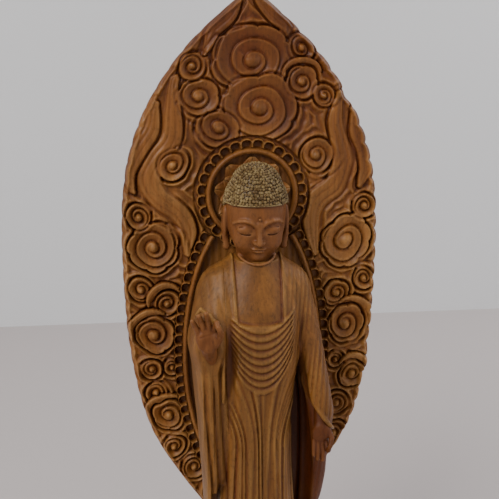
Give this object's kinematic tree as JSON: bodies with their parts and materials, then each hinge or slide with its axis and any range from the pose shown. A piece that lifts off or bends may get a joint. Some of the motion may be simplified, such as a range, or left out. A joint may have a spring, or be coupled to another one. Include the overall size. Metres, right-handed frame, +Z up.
{
  "type": "standing figure statue",
  "caption": "Carved wooden standing robed figure on a lotus throne, with a boat-shaped halo of swirling clouds that lifts out behind it.",
  "frame": {"origin": "centre of the throne's underside, where it stands on a surface", "axes": "+Z up, -Y the side the figure faces, +X to the right of someone who faces the figure"},
  "size_m": [0.1088, 0.102, 0.308],
  "materials": {
    "wood_robe": "satin oiled wood, medium brown",
    "wood_skin": "satin oiled wood, redder brown",
    "wood_hair": "satin wood with a dull golden tone",
    "wood_halo": "satin oiled wood, dark brown",
    "wood_pedestal": "satin oiled wood, medium brown",
    "wood_hidden": "plain wood and bamboo, unfinished"
  },
  "bodies": {
    "throne": {"plinth_lower": "wood_pedestal", "plinth_upper": "wood_pedestal", "plinth_dowels": "wood_hidden", "reversed_lotus": "wood_pedestal", "waist_collar": "wood_pedestal", "waist_drum": "wood_pedestal", "centre_dowel": "wood_hidden", "lotus_seat": "wood_pedestal", "lotus_petals_lower": "wood_pedestal", "lotus_petals_middle": "wood_pedestal", "lotus_petals_upper": "wood_pedestal"},
    "halo": {"halo_panel": "wood_halo", "halo_stem": "wood_halo", "halo_stem_pegs": "wood_hidden", "nimbus_head_ring": "wood_halo", "nimbus_body_ring": "wood_halo", "head_lotus": "wood_halo"},
    "figure": {"figure_body": "wood_robe", "head": "wood_hair", "right_arm": "wood_robe", "left_arm": "wood_robe", "right_hand": "wood_skin", "left_hand": "wood_skin", "right_foot": "wood_skin", "left_foot": "wood_skin", "foot_tenons": "wood_hidden"}
  },
  "joints": [
    {"name": "figure_lift", "type": "slide", "parent": "throne", "child": "figure", "axis": [0, 0, 1], "range_m": [0, 0.012]},
    {"name": "halo_lift", "type": "slide", "parent": "throne", "child": "halo", "axis": [0, 0, 1], "range_m": [0, 0.014]}
  ]
}
